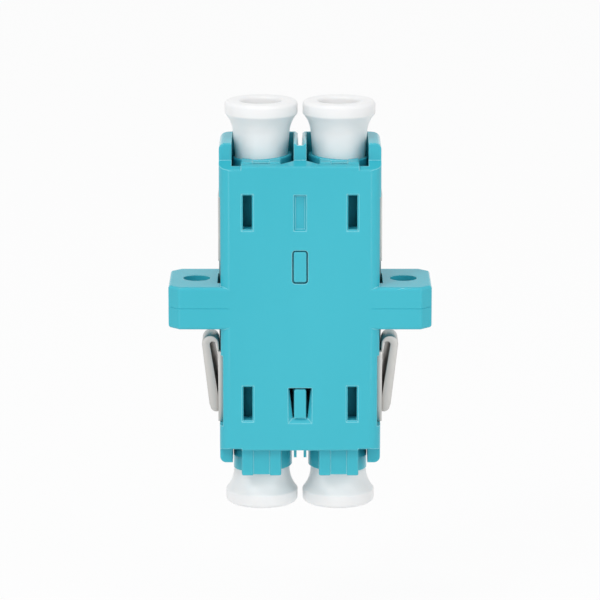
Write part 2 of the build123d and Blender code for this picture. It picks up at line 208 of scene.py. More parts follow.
class ClipSettings(bpy.types.PropertyGroup):
    """Sizes of a spring clip, heights measured from the seam"""

    sheet: FloatProperty(
        name="Sheet", description="Thickness of the strip", unit="LENGTH", subtype="DISTANCE",
        default=0.26 * MM)
    sunk: FloatProperty(
        name="Sunk", description="Strip's face below the plate's", unit="LENGTH",
        subtype="DISTANCE", default=0.045 * MM)
    plate: FloatProperty(
        name="Plate", description="Thickness of the plate beside the tongue", unit="LENGTH",
        subtype="DISTANCE", default=0.4 * MM)
    rail: FloatProperty(
        name="Rail", description="Width of the strip beside the tongue", unit="LENGTH",
        subtype="DISTANCE", default=0.54 * MM)
    ear_top: FloatProperty(
        name="Ear Top", description="Top of the plate's front edge below the seam", unit="LENGTH",
        subtype="DISTANCE", default=3.94 * MM)
    root: FloatProperty(
        name="Root", description="Tongue's root below the seam", unit="LENGTH",
        subtype="DISTANCE", default=5.0 * MM)
    strip_from: FloatProperty(
        name="Strip From", description="Where the rear rail widens, above the seam", unit="LENGTH",
        subtype="DISTANCE", default=3.55 * MM)
    leg: FloatProperty(
        name="Leg", description="Thickness of the folded tongue's outer leg", unit="LENGTH",
        subtype="DISTANCE", default=0.63 * MM)
    thin: FloatProperty(
        name="Thin", description="Thickness of its inner leg", unit="LENGTH",
        subtype="DISTANCE", default=0.2 * MM)
    bend: FloatProperty(
        name="Bend", description="Outer radius of the fold", unit="LENGTH", subtype="DISTANCE",
        default=0.68 * MM)
    bend_top: FloatProperty(
        name="Bend Top", description="Top of the fold below the seam", unit="LENGTH",
        subtype="DISTANCE", default=2.79 * MM)
    lean: FloatProperty(
        name="Lean", description="How far the outer leg leans", subtype="ANGLE", unit="ROTATION",
        default=math.radians(6.7))
    foot: FloatProperty(
        name="Foot", description="Lower end of the outer leg below the seam", unit="LENGTH",
        subtype="DISTANCE", default=9.1 * MM)
    slit_end: FloatProperty(
        name="Slit End", description="Where the leg meets the plate, below the seam", unit="LENGTH",
        subtype="DISTANCE", default=7.8 * MM)
    tongue: FloatProperty(
        name="Tongue", description="Half width of the tongue", unit="LENGTH", subtype="DISTANCE",
        default=1.3 * MM)
    splay: FloatProperty(
        name="Splay", description="How far the leg's inner face comes nearer the body at its rear",
        unit="LENGTH", subtype="DISTANCE", default=0.34 * MM)
    edge: FloatProperty(
        name="Edge", description="Rounding of the sheet's edges", unit="LENGTH",
        subtype="DISTANCE", default=0.03 * MM)


class StageSettings(bpy.types.PropertyGroup):
    """Camera and light"""

    elevation: FloatProperty(
        name="Elevation", description="How far the camera looks down", subtype="ANGLE",
        unit="ROTATION", default=math.radians(12.8))
    distance: FloatProperty(
        name="Distance", description="Camera to the front face", unit="LENGTH",
        subtype="DISTANCE", default=0.296)
    focal_pixels: FloatProperty(
        name="Focal Length", description="Focal length in pixels of a 600 pixel frame",
        default=3700.0)
    aim_height: FloatProperty(
        name="Aim Height", description="Height of the frame's middle on the front face",
        unit="LENGTH", subtype="DISTANCE", default=2.47 * MM)
    aim_across: FloatProperty(
        name="Aim Across", description="Sideways place of the frame's middle", unit="LENGTH",
        subtype="DISTANCE", default=-0.006 * MM)
    floor_drop: FloatProperty(
        name="Floor Drop", description="Floor below the part, clear of a cap pulled down",
        unit="LENGTH", subtype="DISTANCE", default=12.0 * MM)
    light: FloatProperty(
        name="Light", description="Strength of the studio's lamps", default=1.0, min=0.0)
    ambient: FloatProperty(
        name="Ambient", description="Strength of the even light all round", default=0.63, min=0.0)


# Shader maths


class Value:
    """Wraps a shader socket so that arithmetic on it adds Math nodes."""

    def __init__(self, maker, socket):
        self.maker = maker
        self.socket = socket

    def _math(self, operation, first, second):
        return self.maker.node("ShaderNodeMath", {"operation": operation}, first, second)

    def __add__(self, other):
        return self._math("ADD", self, other)

    def __radd__(self, other):
        return self._math("ADD", other, self)

    def __sub__(self, other):
        return self._math("SUBTRACT", self, other)

    def __rsub__(self, other):
        return self._math("SUBTRACT", other, self)

    def __mul__(self, other):
        return self._math("MULTIPLY", self, other)

    def __rmul__(self, other):
        return self._math("MULTIPLY", other, self)


class Finish:
    """Builds one material's node tree."""

    def __init__(self, name, colour, roughness, metallic=0.0):
        self.material = bpy.data.materials.new(name)
        self.material.use_nodes = True
        self.material.diffuse_color = (*colour, 1.0)
        self.tree = self.material.node_tree
        self.shader = self.tree.nodes["Principled BSDF"]
        self.shader.inputs["Base Color"].default_value = (*colour, 1.0)
        self.shader.inputs["Roughness"].default_value = roughness
        self.shader.inputs["Metallic"].default_value = metallic
        coordinates = self.tree.nodes.new("ShaderNodeTexCoord")
        self.place = Value(self, coordinates.outputs["Object"])

    def put(self, socket, value):
        """Links a wrapped socket, or writes a plain value."""
        if isinstance(value, Value):
            self.tree.links.new(value.socket, socket)
        elif value is not None:
            socket.default_value = value

    def node(self, kind, settings, *values, output=0, **named):
        """Adds a node: its settings first, then its sockets' values or links."""
        made = self.tree.nodes.new(kind)
        for key, value in settings.items():
            if key == "stops":
                self._stops(made, value)
            else:
                setattr(made, key, value)
        for socket, value in zip(made.inputs, values):
            self.put(socket, value)
        for key, value in named.items():
            self.put(made.inputs[key.replace("_", " ")], value)
        return Value(self, made.outputs[output])

    @staticmethod
    def _stops(ramp, stops):
        elements = ramp.color_ramp.elements
        while len(elements) < len(stops):
            elements.new(0.5)
        for element, (place, shade) in zip(elements, stops):
            element.position = place
            element.color = (shade, shade, shade, 1.0)

    def noise(self, scale, detail=2.0, roughness=0.5, place=None):
        """Noise on object coordinates; scale is in cells per metre."""
        return self.node("ShaderNodeTexNoise", {}, Vector=place or self.place, Scale=scale,
                         Detail=detail, Roughness=roughness)

    def ramp(self, value, *stops):
        """A grey ramp; each stop is a place and a shade."""
        return self.node("ShaderNodeValToRGB", {"stops": stops}, value)

    def blend(self, factor, first, second, sockets):
        """A Mix node of two wrapped sockets or plain values."""
        kind, first_socket, second_socket, result = sockets
        mixed = self.tree.nodes.new("ShaderNodeMix")
        mixed.data_type = kind
        for socket, value in ((0, factor), (first_socket, first), (second_socket, second)):
            self.put(mixed.inputs[socket], value)
        return Value(self, mixed.outputs[result])

    def mix(self, factor, first, second):
        """A blend of two colours."""
        first, second = (c if isinstance(c, Value) else (*c, 1.0) for c in (first, second))
        return self.blend(factor, first, second, COLOUR_SOCKETS)

    def stretched(self, x, y, z):
        """Object coordinates scaled along each axis."""
        return self.node("ShaderNodeMapping", {}, Vector=self.place, Scale=(x, y, z))

    def bump(self, height, distance, normal=None):
        """A bump of the given depth in metres."""
        return self.node("ShaderNodeBump", {}, Height=height, Distance=distance, Strength=1.0,
                         Normal=normal)

    def face_normal(self):
        """The surface's normal before its edges are rounded."""
        return self.node("ShaderNodeNewGeometry", {}, output=1)

    def upward(self, vector):
        """A vector's third component."""
        return self.node("ShaderNodeSeparateXYZ", {}, vector, output=2)

    def soft_edges(self, radius, split, clear):
        """Normals that round the edges away from the height split, and how far they turn."""
        flat = self.face_normal()
        rounded = self.node("ShaderNodeBevel", {"samples": 6}, Radius=radius)
        gap = self.node("ShaderNodeMath", {"operation": "ABSOLUTE"},
                        self.upward(self.place) - split)
        away = self.node("ShaderNodeMath", {"operation": "GREATER_THAN"}, gap, clear)
        normal = self.blend(away, flat, rounded, VECTOR_SOCKETS)
        same = self.node("ShaderNodeVectorMath", {"operation": "DOT_PRODUCT"}, normal, flat,
                         output=1)
        return normal, 1.0 - same

    def facing_up(self):
        """One on level faces that look up, nought on upright ones."""
        return self.upward(self.face_normal())

    def wear(self, colour=None, roughness=None, normal=None):
        """Feeds the surface."""
        self.put(self.shader.inputs["Base Color"], colour)
        self.put(self.shader.inputs["Roughness"], roughness)
        self.put(self.shader.inputs["Normal"], normal)
        return self.material


def plastic_settings():
    return bpy.context.scene.adapter_plastic


def metal_settings():
    return bpy.context.scene.adapter_metal


def darker(colour, share):
    return tuple(share * c for c in colour)


def once(build):
    """Builds a material on the first call and finds it again on the next ones."""
    def find():
        return bpy.data.materials.get(build.__name__) or build(build.__name__)
    return find


@once
def moulded_teal(name):
    """Satin teal moulding: faint flow marks, a fine eroded texture, soft edges and a painted
    highlight along them.
    """
    look = plastic_settings()
    flow_scale, speck_scale = 90.0, 2600.0
    grain_depth = 0.0022 * MM
    finish = Finish(name, look.teal, look.teal_roughness)
    finish.shader.inputs["IOR"].default_value = PLASTIC_IOR
    finish.shader.inputs["Specular IOR Level"].default_value = 0.06
    finish.shader.inputs["Coat Roughness"].default_value = 0.12
    flow = finish.noise(flow_scale, 3.0, 0.5, finish.stretched(1.0, 1.0, 0.35))
    speck = finish.noise(speck_scale, 2.0, 0.6)
    colour = finish.mix(finish.ramp(flow, (0.35, 0.0), (0.7, 1.0)), look.teal, look.teal_worn)
    roughness = look.teal_roughness + 0.10 * (speck - 0.5) + 0.06 * (flow - 0.5)
    grain = finish.noise(1.0 / look.grain, 2.0, 0.55)
    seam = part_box("upper_housing")[0].z
    edges, turned = finish.soft_edges(look.edge_radius, seam, look.seam_clear)
    # Painted highlight: the colour turns paler teal where the rounded normals part from the flat
    # ones, standing in for light caught on the edges
    pale = finish.ramp(turned, (0.003, 0.0), (0.06, 1.0))
    colour = finish.mix(look.edge_share * pale, colour, look.teal_edge)
    normal = finish.bump(grain, grain_depth, edges)
    upright = finish.ramp(finish.facing_up(), (0.72, 1.0), (0.92, 0.0))
    finish.put(finish.shader.inputs["Coat Weight"], look.gloss * upright)
    return finish.wear(colour, roughness, normal)


@once
def cap_white(name):
    """Soft white polythene, a little uneven, with the tool's fine turning marks."""
    look = plastic_settings()
    cloud_scale, speck_scale, mark_scale = 320.0, 2200.0, 900.0
    mark_depth = 0.003 * MM
    finish = Finish(name, look.white, look.white_roughness)
    finish.shader.inputs["IOR"].default_value = PLASTIC_IOR
    finish.shader.inputs["Subsurface Weight"].default_value = 0.5
    finish.shader.inputs["Subsurface Radius"].default_value = (1.0, 0.95, 0.9)
    finish.shader.inputs["Subsurface Scale"].default_value = 0.7 * MM
    cloud = finish.noise(cloud_scale, 3.0)
    colour = finish.mix(finish.ramp(cloud, (0.35, 0.0), (0.7, 1.0)), look.white,
                        darker(look.white, 0.965))
    roughness = look.white_roughness + 0.12 * (finish.noise(speck_scale) - 0.5)
    marks = finish.noise(mark_scale, 2.0, 0.5, finish.stretched(0.15, 0.15, 6.0))
    return finish.wear(colour, roughness, finish.bump(marks, mark_depth))


@once
def spring_steel(name):
    """Rolled stainless strip: fine lengthwise lines and brighter, smoother patches."""
    look = metal_settings()
    line_scale, cloud_scale = 1500.0, 500.0
    line_depth = 0.004 * MM
    finish = Finish(name, look.steel, look.steel_roughness, 1.0)
    lines = finish.noise(line_scale, 3.0, 0.6, finish.stretched(3.0, 6.0, 0.12))
    cloud = finish.noise(cloud_scale, 2.0)
    colour = finish.mix(finish.ramp(lines, (0.3, 0.0), (0.75, 1.0)), darker(look.steel, 0.86),
                        look.steel)
    roughness = look.steel_roughness + 0.16 * (lines - 0.5) + 0.08 * (cloud - 0.5)
    return finish.wear(colour, roughness, finish.bump(lines, line_depth))


@once
def sleeve_ceramic(name):
    """Ground zirconia, warm white and nearly polished."""
    look = metal_settings()
    cloud_scale, ring_scale = 900.0, 1200.0
    ring_depth = 0.001 * MM
    finish = Finish(name, look.ceramic, 0.16)
    finish.shader.inputs["IOR"].default_value = CERAMIC_IOR
    cloud = finish.noise(cloud_scale, 2.0)
    colour = finish.mix(cloud, darker(look.ceramic, 0.95), look.ceramic)
    rings = finish.noise(ring_scale, 2.0, 0.5, finish.stretched(0.2, 0.2, 8.0))
    return finish.wear(colour, 0.12 + 0.1 * rings, finish.bump(rings, ring_depth))


# Mesh helpers


def settle(obj, material, body, slot, *nodes):
    """Material, body, slot (not used) and the CAD nodes that the piece stands for."""
    obj.data.materials.clear()
    obj.data.materials.append(material)
    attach(obj, body)
    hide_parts(*nodes)
    return obj


def new_object(name, mesh):
    obj = bpy.data.objects.new(name, mesh)
    bpy.context.scene.collection.objects.link(obj)
    return obj


def paint(node, material):
    """Gives a CAD node its finish."""
    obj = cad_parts[node]
    obj.data.materials.clear()
    obj.data.materials.append(material)
    return obj


def sweep(centre, radius, first, turn, steps):
    """Points round a centre, from one angle on, in radians."""
    angles = (first + turn * i / steps for i in range(steps + 1))
    return [(centre[0] + radius * math.cos(angle), centre[1] + radius * math.sin(angle))
            for angle in angles]


def arc(centre, radius, start, end, steps):
    """Points on a circle, angles in degrees."""
    return sweep(centre, radius, math.radians(start), math.radians(end - start), steps)


def short_way(centre, start, end):
    """The angle of start round a centre and the shorter turn from there to end."""
    first = math.atan2(start[1] - centre[1], start[0] - centre[0])
    last = math.atan2(end[1] - centre[1], end[0] - centre[0])
    return first, (last - first + math.pi) % (2 * math.pi) - math.pi


# Dust caps

# Roundings of a cap's hidden corners, and the step that keeps a crease crisp
FLOOR_ROUND = 0.3 * MM
BORE_ROUND = 0.2 * MM
STEM_ROUND = 0.05 * MM
CREASE_STEP = 0.02 * MM
# Steps of its curves
FLARE_STEPS = 14
EDGE_STEPS = 8
FLOOR_STEPS = 6
CORNER_STEPS = 5
BORE_STEPS = 4
STEM_STEPS = 3


def tangent_arc(start, direction, end, steps):
    """Points on the arc that leaves start along direction and reaches end."""
    along = Vector(direction).normalized()
    across = Vector((-along.y, along.x))
    chord = Vector(end) - Vector(start)
    radius = chord.length_squared / (2 * chord.dot(across))
    centre = Vector(start) + across * radius
    return sweep(centre, abs(radius), *short_way(centre, start, end), steps)


def rounded_corner(before, corner, after, radius, steps):
    """Points that round a corner between two straight runs."""
    a = (Vector(before) - Vector(corner)).normalized()
    b = (Vector(after) - Vector(corner)).normalized()
    half = a.angle(b) / 2
    reach = radius / math.tan(half)
    centre = Vector(corner) + (a + b).normalized() * (radius / math.sin(half))
    start = Vector(corner) + a * reach
    end = Vector(corner) + b * reach
    return sweep(centre, radius, *short_way(centre, start, end), steps)


def cap_profile(size):
    """Radius and height of the cap's outline, from the stem's hollow out and over the rim."""
    length = cap_height()
    neck = size.rim_depth + size.flare
    slope = (size.neck_radius - size.stem_radius) / size.taper
    bore_floor = -length + size.bore_depth
    flare = tangent_arc((size.neck_radius, -neck), (slope, 1.0),
                        (size.rim_radius, -size.rim_depth), FLARE_STEPS)
    corner = rounded_corner(flare[-2], flare[-1], (size.rim_radius, 0.0), size.rim_corner,
                            CORNER_STEPS)
    edge_x = size.rim_radius - size.rim_edge
    edge = arc((edge_x, -size.rim_edge), size.rim_edge, 0, 90, EDGE_STEPS)
    lip_x = size.recess_radius + size.recess_lip
    lip = arc((lip_x, -size.recess_lip), size.recess_lip, 90, 180, EDGE_STEPS)
    recess_middle = (0.0, -size.recess_depth)
    floor_corner = (size.recess_floor, -size.recess_depth)
    floor = rounded_corner(lip[-1], floor_corner, recess_middle, FLOOR_ROUND, FLOOR_STEPS)
    bore_middle = (0.0, bore_floor)
    bore_top = (size.bore_radius, bore_floor)
    bore_mouth = (size.bore_radius, -length)
    bore_corner = rounded_corner(bore_mouth, bore_top, bore_middle, BORE_ROUND, BORE_STEPS)
    mouth = rounded_corner((size.stem_radius, -length), bore_mouth, bore_top, STEM_ROUND,
                           STEM_STEPS)
    stem_low = (size.stem_radius - size.stem_chamfer, -length)
    stem_high = (size.stem_radius, -length + size.stem_chamfer)
    stem_end = rounded_corner(bore_mouth, stem_low, stem_high, STEM_ROUND, STEM_STEPS)
    stem_side = rounded_corner(stem_low, stem_high, (size.stem_radius, -neck), STEM_ROUND,
                               STEM_STEPS)
    taper_start = -neck - size.taper
    taper = [(size.stem_radius, taper_start - CREASE_STEP), (size.stem_radius, taper_start)]
    side = [(size.rim_radius, -size.rim_depth + size.rim_corner + CREASE_STEP)]
    return ([bore_middle] + bore_corner[::-1] + mouth[::-1] + stem_end + stem_side + taper
            + flare[:-2] + corner + side + edge + lip + floor + [recess_middle])


def lathe_tree(material):
    """Geometry nodes that turn a row of profile points into a round solid."""
    tree = bpy.data.node_groups.new("turned_cap", "GeometryNodeTree")
    tree.interface.new_socket("Profile", in_out="INPUT", socket_type="NodeSocketGeometry")
    tree.interface.new_socket("Segments", in_out="INPUT", socket_type="NodeSocketInt")
    tree.interface.new_socket("Points", in_out="INPUT", socket_type="NodeSocketInt")
    tree.interface.new_socket("Solid", in_out="OUTPUT", socket_type="NodeSocketGeometry")
    nodes = tree.nodes
    link = tree.links.new
    entry = nodes.new("NodeGroupInput")
    leave = nodes.new("NodeGroupOutput")

    def maths(operation, first, second=None):
        node = nodes.new("ShaderNodeMath")
        node.operation = operation
        for socket, value in zip(node.inputs, (first, second)):
            if isinstance(value, (int, float)):
                socket.default_value = value
            elif value is not None:
                link(value, socket)
        return node.outputs[0]

    grid = nodes.new("GeometryNodeMeshGrid")
    grid.inputs["Size X"].default_value = 1.0
    grid.inputs["Size Y"].default_value = 1.0
    link(maths("ADD", entry.outputs["Segments"], 1), grid.inputs["Vertices X"])
    link(entry.outputs["Points"], grid.inputs["Vertices Y"])
    where = nodes.new("ShaderNodeSeparateXYZ")
    link(nodes.new("GeometryNodeInputPosition").outputs[0], where.inputs[0])
    angle = maths("MULTIPLY", maths("ADD", where.outputs["X"], 0.5), 2 * math.pi)
    last = maths("SUBTRACT", entry.outputs["Points"], 1)
    row = maths("ROUND", maths("MULTIPLY", maths("ADD", where.outputs["Y"], 0.5), last))
    sample = nodes.new("GeometryNodeSampleIndex")
    sample.data_type = "FLOAT_VECTOR"
    sample.domain = "POINT"
    link(entry.outputs["Profile"], sample.inputs["Geometry"])
    link(nodes.new("GeometryNodeInputPosition").outputs[0], sample.inputs["Value"])
    link(row, sample.inputs["Index"])
    outline = nodes.new("ShaderNodeSeparateXYZ")
    link(sample.outputs[0], outline.inputs[0])
    spot = nodes.new("ShaderNodeCombineXYZ")
    link(maths("MULTIPLY", outline.outputs["X"], maths("COSINE", angle)), spot.inputs["X"])
    link(maths("MULTIPLY", outline.outputs["X"], maths("SINE", angle)), spot.inputs["Y"])
    link(outline.outputs["Z"], spot.inputs["Z"])
    place = nodes.new("GeometryNodeSetPosition")
    link(grid.outputs["Mesh"], place.inputs["Geometry"])
    link(spot.outputs[0], place.inputs["Position"])
    merge = nodes.new("GeometryNodeMergeByDistance")
    merge.inputs["Distance"].default_value = WELD
    link(place.outputs[0], merge.inputs["Geometry"])
    smooth = nodes.new("GeometryNodeSetShadeSmooth")
    link(merge.outputs[0], smooth.inputs["Geometry"])
    realize = nodes.new("GeometryNodeRealizeInstances")
    link(smooth.outputs[0], realize.inputs[0])
    finish = nodes.new("GeometryNodeSetMaterial")
    finish.inputs["Material"].default_value = material
    link(realize.outputs[0], finish.inputs["Geometry"])
    link(finish.outputs[0], leave.inputs[0])
    return tree


def set_inputs(modifier, values):
    """Writes a geometry nodes modifier's inputs by their sockets' identifiers."""
    for item in modifier.node_group.interface.items_tree:
        if item.item_type == "SOCKET" and item.in_out == "INPUT" and item.name in values:
            modifier[item.identifier] = values[item.name]


def realized(obj, name):
    """A plain mesh of what an object's modifiers make."""
    graph = bpy.context.evaluated_depsgraph_get()
    mesh = bpy.data.meshes.new_from_object(obj.evaluated_get(graph))
    mesh.name = name
    return mesh


def outward(mesh):
    """Closes seams and points every face outwards."""
    work = bmesh.new()
    work.from_mesh(mesh)
    bmesh.ops.remove_doubles(work, verts=work.verts, dist=WELD)
    bmesh.ops.dissolve_degenerate(work, edges=work.edges, dist=SLIVER)
    bmesh.ops.recalc_face_normals(work, faces=work.faces)
    work.to_mesh(mesh)
    work.free()
    return mesh


def turned_cap(size, material):
    """The cap's mesh with its end face at height zero and its stem below."""
    points = cap_profile(size)
    edges = [(i, i + 1) for i in range(len(points) - 1)]
    outline = bpy.data.meshes.new("cap_outline")
    outline.from_pydata([(x, 0.0, z) for x, z in points], edges, [])
    holder = new_object("cap_outline", outline)
    modifier = holder.modifiers.new("lathe", "NODES")
    modifier.node_group = lathe_tree(material)
    set_inputs(modifier, {"Segments": size.segments, "Points": len(points)})
    mesh = realized(holder, "dust_cap")
    bpy.data.objects.remove(holder)
    return outward(mesh)


class ADAPTER_OT_dust_caps(bpy.types.Operator):
    """Turns the four white dust caps"""

    bl_idname = "adapter.dust_caps"
    bl_label = "Dust Caps"

    def execute(self, context):
        white = cap_white()
        cap = turned_cap(context.scene.adapter_cap, white)
        for end in ENDS:
            for side in SIDES:
                node = cap_name(end, side)
                low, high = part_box(node)
                middle = (low + high) / 2
                mesh = cap.copy()
                if end == "upper":
                    mesh.transform(Matrix.Translation((middle.x, middle.y, high.z)))
                else:
                    over = Matrix.Rotation(math.pi, 4, "X")
                    mesh.transform(Matrix.Translation((middle.x, middle.y, low.z)) @ over)
                piece = new_object(f"dust_cap_{end}_{side}", mesh)
                settle(piece, white, node, "cap_plastic", node)
        return {"FINISHED"}


# Mouldings


class ADAPTER_OT_mouldings(bpy.types.Operator):
    """Finishes the housing halves and the collars"""

    bl_idname = "adapter.mouldings"
    bl_label = "Mouldings"

    def execute(self, context):
        teal = moulded_teal()
        for end in ENDS:
            paint(end + "_housing", teal)
            for side in SIDES:
                paint(f"{end}_collar_{side}", teal)
        return {"FINISHED"}


class ADAPTER_OT_sleeves(bpy.types.Operator):
    """Finishes the ceramic sleeves"""

    bl_idname = "adapter.sleeves"
    bl_label = "Sleeves"

    def execute(self, context):
        for side in SIDES:
            paint("ceramic_sleeve_" + side, sleeve_ceramic())
        return {"FINISHED"}


# Spring clips

# Share of the leg's thickness between the bend's two faces at its top
ARCH = 0.72
# How far the bend's inner side reaches over the plate, and the leg's clearance from it
BEND_INSET = 0.04 * MM
CLEAR = 0.02 * MM
# The leg's lower end: its rounding, the angles it spans, where the straight part starts in
# units of it, and how much the inner face ends higher
FOOT_CORNER = 0.5 * MM
FOOT_ARC = (275, 355)
FOOT_STRAIGHT = 1.3
FOOT_LIFT = 0.03 * MM
# How fast the inner face's turn grows up the leg
TURN_RISE = 1.4
# Steps along the foot, the leg, the bend and the tongue's root
FOOT_STEPS = 6
LEG_STEPS = 12
BEND_STEPS = 16
ROOT_STEPS = 5
# Edges sharper than the first are rounded, those sharper than the second shade as creases
SHARP = math.radians(50)
CREASE = math.radians(28)


def plate_outline(size, seam, low, high):
    """Depth and height of the plate, with an ear each side of the tongue's root."""
    half = high.y
    inner = half - size.rail
    root = seam - size.root
    ear = seam - size.ear_top
    return [(-half, low.z), (half, low.z), (half, ear), (inner, ear), (inner, root),
            (-inner, root), (-inner, ear), (-half, ear)]


def strip_outline(size, seam, high):
    """Depth and height of the rear rail and the strip above it."""
    half = high.y
    inner = half - size.rail
    ear = seam - size.ear_top
    wide = seam + size.strip_from
    return [(inner, ear), (half, ear), (half, high.z), (-half, high.z), (-half, wide),
            (inner, wide)]


def push_slab(work, outline, x0, x1):
    """A flat slab from an outline in depth and height."""
    sheet = work.faces.new([work.verts.new((x0, y, z)) for y, z in outline])
    pushed = bmesh.ops.extrude_face_region(work, geom=[sheet])["geom"]
    moved = [v for v in pushed if isinstance(v, bmesh.types.BMVert)]
    bmesh.ops.translate(work, verts=moved, vec=(x1 - x0, 0.0, 0.0))


def tongue_stations(size, seam, face):
    """Across and height of the tongue's two faces, from the foot over the bend to the root."""
    top = seam - size.bend_top
    centre = (face + size.bend - BEND_INSET, top - size.bend)
    inner_bend = size.bend - (size.leg + size.thin) / 2
    inner_centre = (centre[0] + size.bend - size.leg - inner_bend,
                    top - ARCH * size.leg - inner_bend)
    foot = seam - size.foot
    slit = seam - size.slit_end
    slope = math.tan(size.lean)
    clear = face + CLEAR

    def outer_x(z):
        return centre[0] + size.bend + (z - centre[1]) * slope

    stations = []
    foot_centre = (outer_x(foot) - FOOT_CORNER, foot + FOOT_CORNER)
    for point in arc(foot_centre, FOOT_CORNER, *FOOT_ARC, FOOT_STEPS):
        stations.append((point, (clear, min(point[1] + FOOT_LIFT, slit))))
    straight = foot + FOOT_STRAIGHT * FOOT_CORNER
    for share in (0.0, 0.5, 1.0):
        z = straight + (slit - straight) * share
        stations.append(((outer_x(z), z), (clear, z)))
    low_leg = outer_x(slit) - clear
    for i in range(1, LEG_STEPS):
        z = slit + (centre[1] - slit) * i / LEG_STEPS
        thick = low_leg + (size.leg - low_leg) * i / LEG_STEPS
        stations.append(((outer_x(z), z), (outer_x(z) - thick, z)))
    stations += zip(arc(centre, size.bend, 0, 180, BEND_STEPS),
                    arc(inner_centre, inner_bend, 0, 180, BEND_STEPS))
    root = seam - size.root
    start = centre[0] - size.bend
    end = face - size.thin
    for i in range(1, ROOT_STEPS + 1):
        share = i / ROOT_STEPS
        z = inner_centre[1] + (root - inner_centre[1]) * share
        x = start + (end - start) * share
        stations.append(((x, z), (x + size.thin, z)))
    return stations


def clamped(value):
    """The value held between nought and one."""
    return min(max(value, 0.0), 1.0)


def tongue_mesh(work, size, seam, face):
    """A folded band whose inner face comes nearer the body along the leg's rear edge."""
    foot = seam - size.foot
    middle = seam - size.bend_top - size.bend
    stop = face - size.thin
    rings = []
    for outer, inner in tongue_stations(size, seam, face):
        high = clamped((outer[1] - foot) / (middle - foot))
        across = clamped((outer[0] - stop) / (2 * size.bend))
        turn = size.splay * min(high * TURN_RISE, 1.0) * across
        ring = []
        for y, shift in ((-size.tongue, 0.0), (size.tongue, turn)):
            for x, z in (outer, (inner[0] - shift, inner[1])):
                ring.append(work.verts.new((max(x, stop), y, z)))
        rings.append(ring)
    for first, second in zip(rings, rings[1:]):
        for a, b in ((0, 1), (1, 3), (3, 2), (2, 0)):
            work.faces.new((first[a], first[b], second[b], second[a]))
    for ring in (rings[0], rings[-1]):
        work.faces.new((ring[0], ring[1], ring[3], ring[2]))


def clip_mesh(size, node):
    """The right-hand clip: a flat strip with its window, and the folded tongue."""
    low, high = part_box(node)
    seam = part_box("upper_housing")[0].z
    face = low.x + size.sheet
    work = bmesh.new()
    push_slab(work, plate_outline(size, seam, low, high), face - size.plate, face)
    push_slab(work, strip_outline(size, seam, high), low.x, face - size.sunk)
    tongue_mesh(work, size, seam, face)
    bmesh.ops.recalc_face_normals(work, faces=work.faces)
    sharp = [e for e in work.edges if len(e.link_faces) == 2 and e.calc_face_angle() > SHARP]
    bmesh.ops.bevel(work, geom=sharp, offset=size.edge, segments=2, profile=0.5, affect="EDGES",
                    clamp_overlap=True)
    for made in work.faces:
        made.smooth = True
    mesh = bpy.data.meshes.new(node)
    work.to_mesh(mesh)
    work.free()
    mesh.set_sharp_from_angle(angle=CREASE)
    return mesh


def mirrored(mesh):
    """The same mesh on the other side, with its faces turned outwards again."""
    copy = mesh.copy()
    copy.transform(Matrix.Scale(-1.0, 4, (1.0, 0.0, 0.0)))
    copy.flip_normals()
    return copy


class ADAPTER_OT_clips(bpy.types.Operator):
    """Bends the two spring clips"""

    bl_idname = "adapter.clips"
    bl_label = "Spring Clips"

    def execute(self, context):
        steel = spring_steel()
        right = clip_mesh(context.scene.adapter_clip, "spring_clip_right")
        for side, mesh in (("right", right), ("left", mirrored(right))):
            piece = new_object("clip_" + side, mesh)
            settle(piece, steel, BODY, "spring_steel", "spring_clip_" + side)
        return {"FINISHED"}


# Stage

# Lamps: place in metres, width, height and watts
LAMPS = {
    "key": ((-0.22, -0.34, 0.34), 0.10, 0.14, 0.49),
    "fill": ((0.30, -0.30, 0.16), 0.25, 0.30, 0.29),
    "side": ((-0.35, -0.12, 0.08), 0.20, 0.30, 0.10),
    "top": ((-0.04, -0.14, 0.40), 0.30, 0.007, 0.34),
}
# A narrow lamp each side that draws the light along the body's front corners
GLINT_PLACE = (0.021, -0.046, 0.0)
GLINT_AIM = (0.006, -0.004, 0.0)
GLINT = (0.002, 0.032, 0.0010)
FLOOR_HALF = 3.0
FLOOR_GREY = 0.86
# How much of the floor's white is a glow that hides its shading
FLOOR_GLOW = 0.92
AMBIENT_COLOUR = (0.98, 0.99, 1.0, 1.0)
WHITE = (1.0, 1.0, 1.0, 1.0)
FRAME_PIXELS = 600.0
SENSOR_WIDTH = 36.0
NEAREST, FARTHEST = 0.01, 20.0


def area_light(name, place, aim, width, height, power):
    """A soft rectangular lamp that faces a point."""
    data = bpy.data.lights.new(name, "AREA")
    data.shape = "RECTANGLE"
    data.size = width
    data.size_y = height
    data.energy = power
    lamp = bpy.data.objects.new(name, data)
    bpy.context.scene.collection.objects.link(lamp)
    lamp.location = place
    lamp.rotation_euler = (Vector(aim) - Vector(place)).to_track_quat("-Z", "Y").to_euler()
    return lamp


def white_rays(tree):
    """One for the rays that see the backdrop: the camera's, in gloss and through glass."""
    ray = tree.nodes.new("ShaderNodeLightPath")
    total = ray.outputs["Is Camera Ray"]
    for kind in ("Is Glossy Ray", "Is Transmission Ray"):
        either = tree.nodes.new("ShaderNodeMath")
        either.operation = "MAXIMUM"
        tree.links.new(total, either.inputs[0])
        tree.links.new(ray.outputs[kind], either.inputs[1])
        total = either.outputs[0]
    return total


